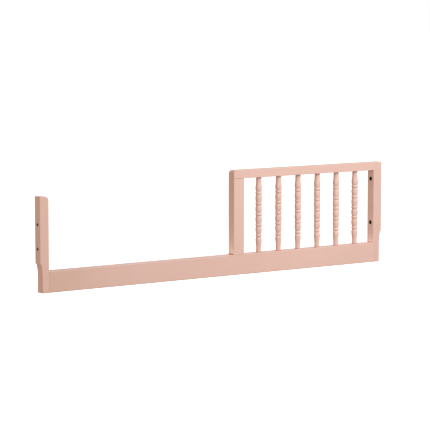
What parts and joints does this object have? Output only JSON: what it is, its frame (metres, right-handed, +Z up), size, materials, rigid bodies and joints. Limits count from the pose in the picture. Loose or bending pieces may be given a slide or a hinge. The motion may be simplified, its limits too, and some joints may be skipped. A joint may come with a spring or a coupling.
{
  "type": "toddler bed guard rail",
  "caption": "Painted wooden toddler bed conversion rail: low rail between two end posts, entry gap, and a raised guard with turned spindles.",
  "frame": {"origin": "middle of the rail's underside, halfway along its length and halfway through its thickness", "axes": "+X along the rail from the short left post to the tall right post, +Z up, -Y the front"},
  "size_m": [1.308, 0.0318, 0.3365],
  "materials": {
    "painted_wood": "satin blush pink paint over solid wood",
    "dowel_wood": "bare beech, unfinished"
  },
  "bodies": {
    "root": {"left_post": "painted_wood", "lower_rail": "painted_wood", "guard_post": "painted_wood", "top_rail": "painted_wood", "right_post": "painted_wood", "spindle_1": "painted_wood", "spindle_2": "painted_wood", "spindle_3": "painted_wood", "spindle_4": "painted_wood", "spindle_5": "painted_wood", "spindle_6": "painted_wood", "left_rail_dowel_1": "dowel_wood", "left_rail_dowel_2": "dowel_wood", "right_rail_dowel_1": "dowel_wood", "right_rail_dowel_2": "dowel_wood", "guard_foot_dowel_1": "dowel_wood", "guard_foot_dowel_2": "dowel_wood", "guard_head_dowel_1": "dowel_wood", "guard_head_dowel_2": "dowel_wood", "top_rail_dowel_1": "dowel_wood", "top_rail_dowel_2": "dowel_wood"}
  },
  "joints": []
}
